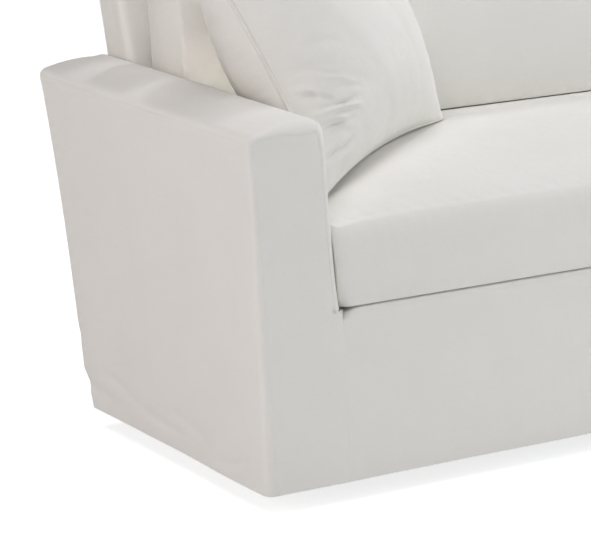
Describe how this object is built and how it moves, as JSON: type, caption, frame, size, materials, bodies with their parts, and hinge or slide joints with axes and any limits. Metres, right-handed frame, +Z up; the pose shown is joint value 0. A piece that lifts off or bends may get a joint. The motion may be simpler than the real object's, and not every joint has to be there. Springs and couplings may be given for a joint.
{
  "type": "sofa slipcover",
  "caption": "Fitted off-white linen cover for a track-arm sofa: hollow body panels open at the hem, a long crowned seat cushion, upright back cushions and a knife-edge corner pillow",
  "frame": {"origin": "Underside of the cover's top edge, in the middle of its width, where it hangs over the top of the sofa's back", "axes": "+X runs along the sofa to the right as seen from the front, +Y points to the rear and +Z up"},
  "size_m": [2.1972, 0.8385, 0.9645],
  "materials": {
    "cover_linen": "matte plain-weave cotton and linen",
    "seat_linen": "matte plain-weave cotton and linen",
    "back_linen": "matte plain-weave cotton and linen",
    "pillow_linen": "matte plain-weave cotton and linen, softly creased"
  },
  "bodies": {
    "root": {"outer_arm_left": "cover_linen", "outer_arm_right": "cover_linen", "arm_top_left": "cover_linen", "arm_top_right": "cover_linen", "inside_arm_left": "cover_linen", "inside_arm_right": "cover_linen", "arm_front_left": "cover_linen", "arm_front_right": "cover_linen", "arm_rear_left": "cover_linen", "arm_rear_right": "cover_linen", "front_apron": "cover_linen", "seat_deck": "cover_linen", "inside_back": "cover_linen", "back_band": "cover_linen", "outside_back": "cover_linen", "seat_cushion": "seat_linen", "back_cushion_left": "back_linen", "back_cushion_right": "back_linen", "corner_pillow": "pillow_linen"}
  },
  "joints": []
}
